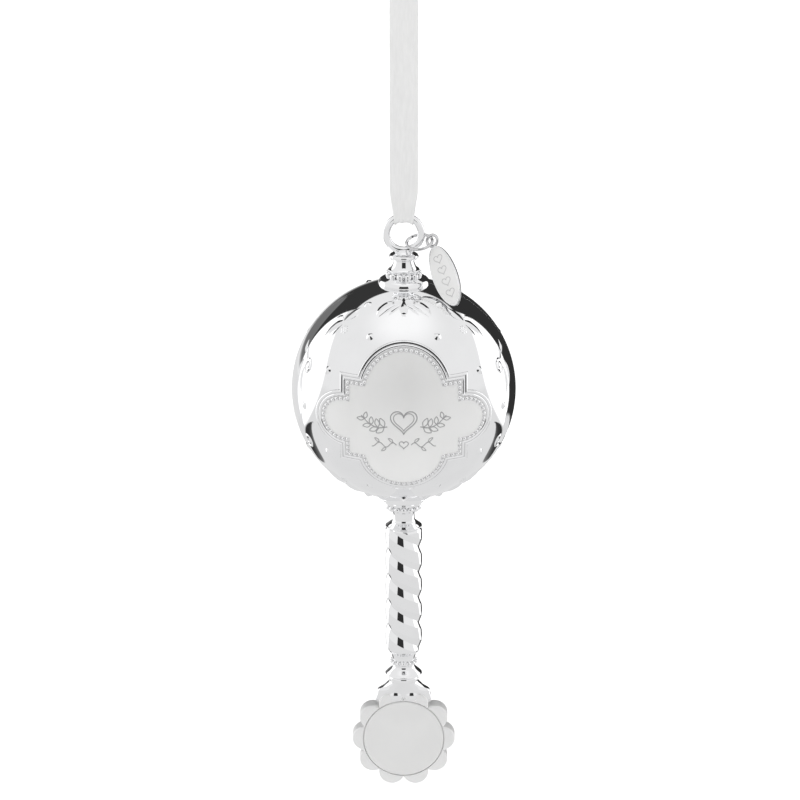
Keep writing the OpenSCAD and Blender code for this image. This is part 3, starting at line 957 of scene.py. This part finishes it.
def stroke(shape, line, widths, slope, place, mirror=1, toward=(0, 1)):
    """A raised leaf along a line: a ridge with a broad gentle side that faces one way, and a steep side."""
    line = smooth_line(line, 7)
    t = np.linspace(0, 1, len(line))
    width = np.interp(t, np.linspace(0, 1, len(widths)), widths)
    width = np.maximum(width, 0.05)
    ahead = np.gradient(line, axis=0)
    ahead /= np.linalg.norm(ahead, axis=1)[:, None]
    across = np.stack([-ahead[:, 1], ahead[:, 0]], 1)
    ridge = -0.4 * np.clip(1.6 * (across @ np.array(toward)), -1, 1)
    steps = (-1, -0.97, -0.5, -0.06, 0, 0.06, 0.5, 0.97, 1)
    columns = len(steps)
    flat, rise = [], []
    for share in steps:
        u = ridge + share * (1 + ridge if share < 0 else 1 - ridge)
        flat.append(line + across * (width * u)[:, None])
        rise.append(slope * RIDGE_SHARE * width * (1 - abs(share)) - 0.02)
    flat = np.array(flat).transpose(1, 0, 2).reshape(-1, 2)
    rise = np.array(rise).T.ravel()
    verts = wrap_on_ball(flat, rise, place, mirror)
    faces = grid_faces(len(line), columns, wrap_columns=False)
    under = wrap_on_ball(flat, np.full(len(flat), -0.12), place, mirror)
    slab(shape, verts, under, faces, mirror > 0)


# reach from the middle and rise, both in parts of the stud's radius
STUD = ((0.9, -0.1), (1, -0.02), (0.62, 0.25), (0.3, 0.47), (0.15, 0.52), (0.001, 0.53))


def dot(shape, azimuth, latitude, radius=0.95):
    """A low round stud with a sloping side."""
    segments = 28
    circle = np.array([(cos(a), sin(a)) for a in turns(segments)])
    rows = [wrap_on_ball(circle * radius * reach, np.full(segments, radius * rise), (azimuth, latitude))
            for reach, rise in STUD]
    shape.add(np.concatenate(rows), grid_faces(len(rows), segments))


def leaves(shape, shapes, place, up, mirror, share, toward):
    for points, widths, slope in shapes:
        stroke(shape, np.array(points) * [1, up], widths, slope * share, place, mirror, toward)


PALMETTE = [
    ([(0.4, 1.9), (1.5, 1.55), (3.7, 0.9), (5.3, -0.4), (6.2, -2.2)], [0.3, 0.6, 0.8, 0.6, 0.05], 0.62),
    ([(0.6, 1.0), (2.0, 0.3), (3.6, -1.0), (5.7, -2.8)], [0.25, 0.65, 0.65, 0.05], 0.56),
    ([(0.5, 0.2), (1.6, -0.6), (2.6, -1.6), (3.4, -2.7)], [0.25, 0.55, 0.55, 0.05], 0.5),
    ([(0.2, 2.5), (0.9, 3.2), (1.7, 3.1), (2.3, 2.5)], [0.25, 0.5, 0.42, 0.08], 0.5),
]
SPRAY = [
    ([(-0.2, 0.2), (-0.6, 1.6), (-0.95, 3.2), (-1.35, 4.9)], [0.45, 1.0, 0.85, 0.06], 0.62),
    ([(-0.9, 0.4), (-1.7, 1.2), (-2.2, 2.2), (-2.4, 3.1)], [0.3, 0.6, 0.5, 0.05], 0.5),
    ([(0.2, 0.0), (1.2, -1.0), (2.2, -2.8), (3.0, -5.0)], [0.45, 0.9, 0.7, 0.06], 0.62),
    ([(0.0, -0.6), (0.8, -1.8), (1.5, -3.0), (1.95, -4.4)], [0.3, 0.65, 0.5, 0.05], 0.5),
    ([(-0.4, -0.9), (-0.1, -2.1), (0.2, -3.2), (0.5, -4.3)], [0.3, 0.6, 0.45, 0.05], 0.45),
    ([(0.8, 0.8), (1.6, 1.0), (2.4, 0.6), (3.0, -0.2)], [0.2, 0.5, 0.42, 0.05], 0.45),
]
SCROLL = [
    ([(1.7 * (1 - s / 16) * cos(0.75 * s + 1.2), 1.7 * (1 - s / 16) * sin(0.75 * s + 1.2))
      for s in range(13)], [0.4, 0.45, 0.4, 0.35, 0.4], 0.42),
    ([(0.9, 1.5), (1.9, 2.1), (2.6, 3.2), (2.9, 4.6)], [0.35, 0.6, 0.5, 0.06], 0.45),
    ([(1.5, -0.7), (1.7, -2.6), (1.2, -4.8), (0.4, -6.9)], [0.35, 0.75, 0.6, 0.05], 0.45),
    ([(2.9, 0.8), (3.6, -0.9), (3.5, -3.0), (2.8, -5.2)], [0.3, 0.75, 0.65, 0.06], 0.45),
    ([(3.4, 2.4), (4.6, 3.4), (5.2, 5.2)], [0.3, 0.65, 0.06], 0.4),
]
RELIEF_SHARP = 24
FLOWER = (46.5, 44.4)
DOTS = [(42.3, 62.2), (23.8, 43.6), (45.8, 22.2), (61, 0)]


def make_relief(name, back):
    """Palmettes over and under the cartouche, sprays with a small flower beside them, and studs."""
    shape = Shape()
    share = 0.5 if back else 1.0
    for up in (-1, 1):
        stroke(shape, np.array([(0, 2.6), (0, 1.2), (0, -0.7), (0, -2.3)]) * [1, up], [0.35, 0.5, 1.0, 0.6],
               0.4 * share, (back, up * 64))
        for mirror in (-1, 1):
            leaves(shape, PALMETTE, (back, up * 64), up, mirror, share * 0.72, (0, 1))
            leaves(shape, SPRAY, (back + mirror * 53, up * 48.5), up, mirror, share * 0.5, (0.5, 0.87))
            for k in range(7):
                out = 1.5 if k else 0
                dot(shape, back + mirror * (FLOWER[0] + 1.35 * out * cos(k * pi / 3)),
                    up * (FLOWER[1] + out * sin(k * pi / 3)), 0.4)
            for azimuth, latitude in DOTS:
                if latitude or up > 0:
                    dot(shape, back + mirror * azimuth, up * latitude)
    shape.make_silver(name, (), RELIEF_SHARP)


def make_side_scrolls(name, back):
    """Scrolls and leaves on both sides of the ball, above and below its middle."""
    shape = Shape()
    for up in (-1, 1):
        for mirror in (-1, 1):
            leaves(shape, SCROLL, (mirror * 64, up * 20), up, mirror, 0.8, (1, 0))
    if back:
        shape.verts = [BALL + (v - BALL) * [1, -1, 1] for v in shape.verts]
        shape.faces = flipped(shape.faces)
    shape.make_silver(name, (), RELIEF_SHARP)


make_relief("front_leaf_relief", 0)
make_relief("rear_leaf_relief", 180)
make_side_scrolls("front_scroll_relief", False)
make_side_scrolls("rear_scroll_relief", True)


# ---- Medallion foot ----

medal_low, medal_high = box_mm("medallion")
MEDAL_R = (medal_high[0] - medal_low[0]) / 2
MEDAL_T = medal_high[1] - medal_low[1]
MEDAL_CENTRE = BALL + [0, 0, -85.9]
LOBES = 10
LOBE_R = 3.0
GROOVE_R = 9.5
FACE_R = 9.3


def scallop(angle):
    """Radius of the lobed outline at an angle."""
    spread = pi / LOBES
    off = (angle + spread) % (2 * spread) - spread
    line = MEDAL_R - LOBE_R
    return line * cos(off) + sqrt(max(0, LOBE_R ** 2 - (line * sin(off)) ** 2))


def make_medallion():
    """The lobed disc: a share of 1 puts a ring of its profile on the lobed outline, 0 on a round one."""
    segments, steps = 480, 8
    half = MEDAL_T / 2
    lobe = [(0.04, 0.0), (0.05, 0.3), (0.09, 0.6), (0.14, 0.82)]
    lobe += [(0.14 + 0.45 * (1 - cos(a)), 0.82 + 0.18 * sin(a))
             for a in np.linspace(0.1, pi / 2, steps)]
    face = [(0.0, 0.5, 0), (GROOVE_R - 0.05, 0.5, 0), (GROOVE_R, 0.3, 0), (GROOVE_R + 0.02, 0.12, 0)]
    face += [(GROOVE_R + 0.08, down, share) for down, share in lobe]
    profile = [(r, down - half, share) for r, down, share in face]
    profile += [(r, half - down, share) for r, down, share in face[::-1]]
    verts = []
    for r, y, share in profile:
        for a in turns(segments):
            reach = max(r, 1e-3) + (scallop(a) - r) * share
            verts.append(MEDAL_CENTRE + [reach * cos(a), y, reach * sin(a)])
    shape = Shape().add(verts, flipped(grid_faces(len(profile), segments)))
    shape.make_silver("lobed_medallion", ["medallion"], 40, SOFT)


def make_medallion_plate(name, node, side):
    half = MEDAL_T / 2
    rings, segments = 24, 160
    profile = [(FACE_R * i / rings, 0) for i in range(rings)]
    profile += [(FACE_R - 0.3, 0), (FACE_R - 0.16, 0.02), (FACE_R - 0.05, 0.09), (FACE_R + 0.02, 0.2),
                (FACE_R + 0.04, 0.48), (0, 0.48)]
    verts = []
    for r, down in profile:
        r = max(r, 1e-3)
        verts += [MEDAL_CENTRE + [r * cos(a), side * (half - down), r * sin(a)] for a in turns(segments)]
    shape = Shape().add(verts, flipped(grid_faces(len(profile), segments), side > 0))
    shape.make_silver(name, [node], 40, SATIN, "satin_silver")


def make_foot_neck():
    """A round neck that spreads sideways into two shoulders over the medallion."""
    shape = Shape()
    low, high = height_range("foot_neck")
    segments = 144
    # distance down from the top, half width, half depth, and how square the section is
    tops = [(0, 3.15, 3.15, 2), (0.35, 3.4, 3.4, 2), (0.9, 3.45, 3.4, 2), (1.5, 3.35, 3.2, 2),
            (2.2, 4.0, 2.9, 2.1), (2.9, 4.75, 2.6, 2.2), (3.5, 5.8, 2.35, 2.3), (3.85, 6.12, 2.2, 2.4),
            (4.4, 6.2, 2.0, 2.5), (5.2, 6.4, 1.8, 2.6)]
    stations = [(high - down, *section) for down, *section in tops]
    stations = smooth_line(stations + [(low, 6.5, 1.7, 2.6), (low - 0.9, 6.4, 1.6, 2.6)], 4)
    verts = []
    for h, wide, deep, power in stations:
        for a in turns(segments):
            reach = (abs(cos(a) / wide) ** power + abs(sin(a) / deep) ** power) ** (-1 / power)
            verts.append(round_axis(reach, a, h))
    rings = len(stations)
    shape.add(verts, flipped(grid_faces(rings, segments) + caps(rings, segments)))
    # two small round shoulders, pressed together in the middle, over the plate's top
    for side in (-1, 1):
        middle = BALL + [side * 1.85, 0, low + 0.85]
        ball_mesh(shape, middle, 1.0, 24, 40)
        shape.verts[-1] = middle + (shape.verts[-1] - middle) * [2.5, 2.4, 2.2]
    shape.make_silver("spreading_foot_neck", ["foot_neck"], 40)


make_medallion()
make_medallion_plate("medallion_front_face", "medallion_front_plate", -1)
make_medallion_plate("medallion_rear_face", "medallion_back_plate", 1)
make_foot_neck()

# these stay as the CAD made them: they are hidden inside
for hidden in (*[f"rattle_pellet_{k}" for k in (1, 2, 3, 4)], "finial_stud", "handle_rod"):
    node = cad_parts[hidden]
    node.data.materials.clear()
    node.data.materials.append(STEEL)


# ---- Floor, light ----

def make_floor():
    low = cad_box[0].z - 0.03
    size = 6
    mesh = bpy.data.meshes.new("floor")
    corners = [(x * size, y * size, low) for x, y in ((-1, -1), (1, -1), (1, 1), (-1, 1))]
    mesh.from_pydata(corners, [], [(0, 1, 2, 3)])
    material, nodes, links, shader = new_material("pale_floor")
    fill(shader, {"Base Color": (0.9, 0.9, 0.9, 1), "Roughness": 0.9, "Emission Color": (1, 1, 1, 1),
                  "Emission Strength": 0.5})
    mesh.materials.append(material)
    floor = new_object("floor", mesh)
    floor.visible_glossy = False


def make_world():
    """A white studio as the silver sees it: softboxes, dark gaps and a plain backdrop."""
    world = bpy.data.worlds.new("studio")
    scene.world = world
    world.use_nodes = True
    nodes, links = world.node_tree.nodes, world.node_tree.links
    nodes.clear()

    def calc(kind, *values):
        node = nodes.new("ShaderNodeMath")
        node.operation = kind
        for socket, value in zip(node.inputs, values):
            if isinstance(value, (int, float)):
                socket.default_value = value
            else:
                links.new(value, socket)
        return node.outputs[0]

    def times(a, b):
        return calc("MULTIPLY", a, b)

    def plus(a, b):
        return calc("ADD", a, b)

    def minus(a, b):
        return calc("SUBTRACT", a, b)

    where = nodes.new("ShaderNodeTexCoord")
    split = nodes.new("ShaderNodeSeparateXYZ")
    links.new(where.outputs["Generated"], split.inputs[0])
    degrees = 180 / pi
    turn = times(calc("ARCTAN2", split.outputs["X"], times(split.outputs["Y"], -1.0)), degrees)
    turn_size = calc("ABSOLUTE", turn)
    height = times(calc("ARCSINE", split.outputs["Z"]), degrees)

    def smooth(value, start, stop):
        node = nodes.new("ShaderNodeMapRange")
        node.interpolation_type = "SMOOTHSTEP"
        links.new(value, node.inputs["Value"])
        fill(node, {"From Min": start, "From Max": stop})
        return node.outputs["Result"]

    def window(value, low, high, soft=0.8):
        return times(smooth(value, low - soft, low + soft), smooth(value, high + soft, high - soft))

    def paint(level, mask, value):
        """Paints one brightness over the others where the mask is 1."""
        return plus(times(level, minus(1.0, mask)), times(mask, value))

    def patch(source, turn_from, turn_to, low, high, soft=0.8):
        return times(window(source, turn_from, turn_to, soft), window(height, low, high, soft))

    def scaled(value, middle, half):
        return calc("DIVIDE", minus(value, middle), half)

    def oval_reach(source, turn_middle, turn_half, middle, half):
        """Distance from an oval's middle, 1 on its edge."""
        across, upward = scaled(source, turn_middle, turn_half), scaled(height, middle, half)
        return calc("SQRT", plus(times(across, across), times(upward, upward)))

    # the plain room: a little brighter above the horizon, bright overhead
    level = plus(0.745, times(smooth(height, -50, -40), 0.02))
    level = plus(level, times(smooth(height, -4, 4), 0.08))
    level = plus(level, times(smooth(height, 52, 82), 0.17))
    # a round softbox on each side, cut off behind by a dark wall
    reach = oval_reach(turn_size, 138, 45, 4, 31)
    level = paint(level, times(smooth(reach, 1.03, 0.97), smooth(turn_size, 140, 138)), 1.35)
    fade = plus(0.17, times(smooth(height, 0, -9), 0.7))
    level = paint(level, patch(turn, -190, -139, -10, 16), fade)
    level = paint(level, patch(turn, -190, -139, 2, 42), 0.036)
    reach = oval_reach(turn, -153, 13, 0, 16)
    level = paint(level, times(smooth(reach, 1.05, 0.95), smooth(height, -10, -4)), 0.17)
    level = paint(level, patch(turn, 137, 190, -23, 41), 0.03)
    # thin gaps under the softboxes, and the opening in front that the camera looks through
    along = calc("MINIMUM", calc("MAXIMUM", scaled(turn_size, 113, 54), 0.0), 1.0)
    depth = calc("SINE", times(calc("POWER", along, 1.3), pi))
    top = minus(-26, times(along, 4.0))
    bottom = minus(-26, times(depth, 12.5))
    share = calc("DIVIDE", minus(top, height), calc("MAXIMUM", minus(top, bottom), 0.5))
    gap = times(window(share, 0.0, 1.0, 0.06), window(turn_size, 113, 163))
    level = paint(level, gap, plus(0.03, times(calc("POWER", share, 3.0), 0.2)))
    level = paint(level, patch(turn, -21, 21, 0, 40), 0.03)

    shown = nodes.new("ShaderNodeMix")
    path = nodes.new("ShaderNodeLightPath")
    links.new(path.outputs["Is Camera Ray"], shown.inputs["Factor"])
    links.new(level, shown.inputs["A"])
    shown.inputs["B"].default_value = 1.0
    background = nodes.new("ShaderNodeBackground")
    links.new(shown.outputs["Result"], background.inputs["Color"])
    output = nodes.new("ShaderNodeOutputWorld")
    links.new(background.outputs[0], output.inputs["Surface"])


def make_lights():
    """Two large soft lights for the ribbon and the satin faces."""
    for name, x, y, z, watts in (("key_light", -0.7, -0.9, 0.35, 0.6), ("fill_light", 0.8, -0.7, 0.3, 0.4)):
        data = bpy.data.lights.new(name, "AREA")
        data.size = 0.6
        data.energy = watts
        light = new_object(name, data)
        light.location = (x, y, z)
        toward = Vector((0, 0, BALL_Z * MM)) - light.location
        light.rotation_euler = toward.to_track_quat("-Z", "Y").to_euler()
        light.visible_glossy = False


make_floor()
make_world()
make_lights()
scene.view_settings.view_transform = "Standard"
